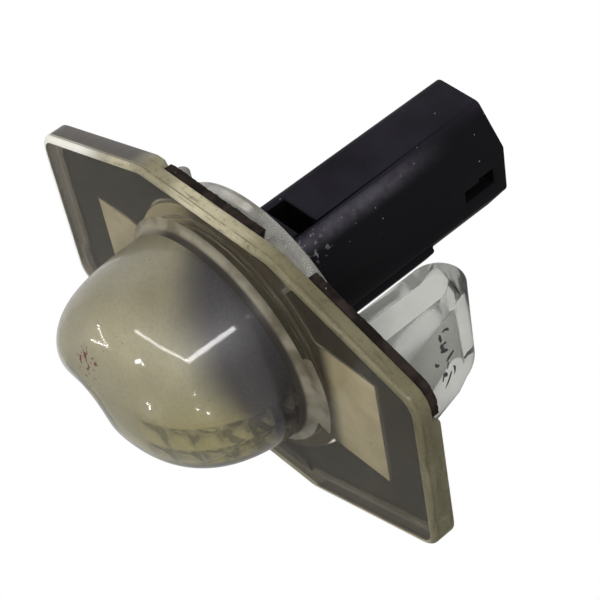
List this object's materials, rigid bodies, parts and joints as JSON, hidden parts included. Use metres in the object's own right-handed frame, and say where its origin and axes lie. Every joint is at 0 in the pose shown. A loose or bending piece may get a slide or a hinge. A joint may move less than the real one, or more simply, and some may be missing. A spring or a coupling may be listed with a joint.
{
  "type": "number plate lamp",
  "caption": "Clip-in lamp with a hazed dome lens on an eight-sided flange, foam gasket, spring latch, fixed hook and a black bulb holder with a connector socket.",
  "frame": {"origin": "axis of the round boss, on the plane where the gasket seats against the car's panel", "axes": "+Z into the car along the boss axis, the dome points to -Z, +X along the flange towards the spring latch, +Y across the flange"},
  "size_m": [0.064, 0.038, 0.0561],
  "materials": {
    "lens_plastic": "yellowed clear polycarbonate, hazed on the dome",
    "clear_plastic": "clear polycarbonate, polished",
    "foam": "closed-cell foam, matt",
    "black_plastic": "satin black, dusty",
    "seal_rubber": "matt",
    "bulb_glass": "clear blown glass",
    "filament_wire": "dark tungsten",
    "lead_wire": "bright wire",
    "contact_brass": "stamped sheet brass, dulled"
  },
  "bodies": {
    "root": {"lens": "lens_plastic", "rear_housing": "clear_plastic", "gasket": "foam", "bulb_holder": "black_plastic", "holder_seal": "seal_rubber", "bulb_glass": "bulb_glass", "bulb_filament": "filament_wire", "bulb_lead_left": "lead_wire", "bulb_lead_right": "lead_wire", "contact_left": "contact_brass", "contact_right": "contact_brass"}
  },
  "joints": []
}
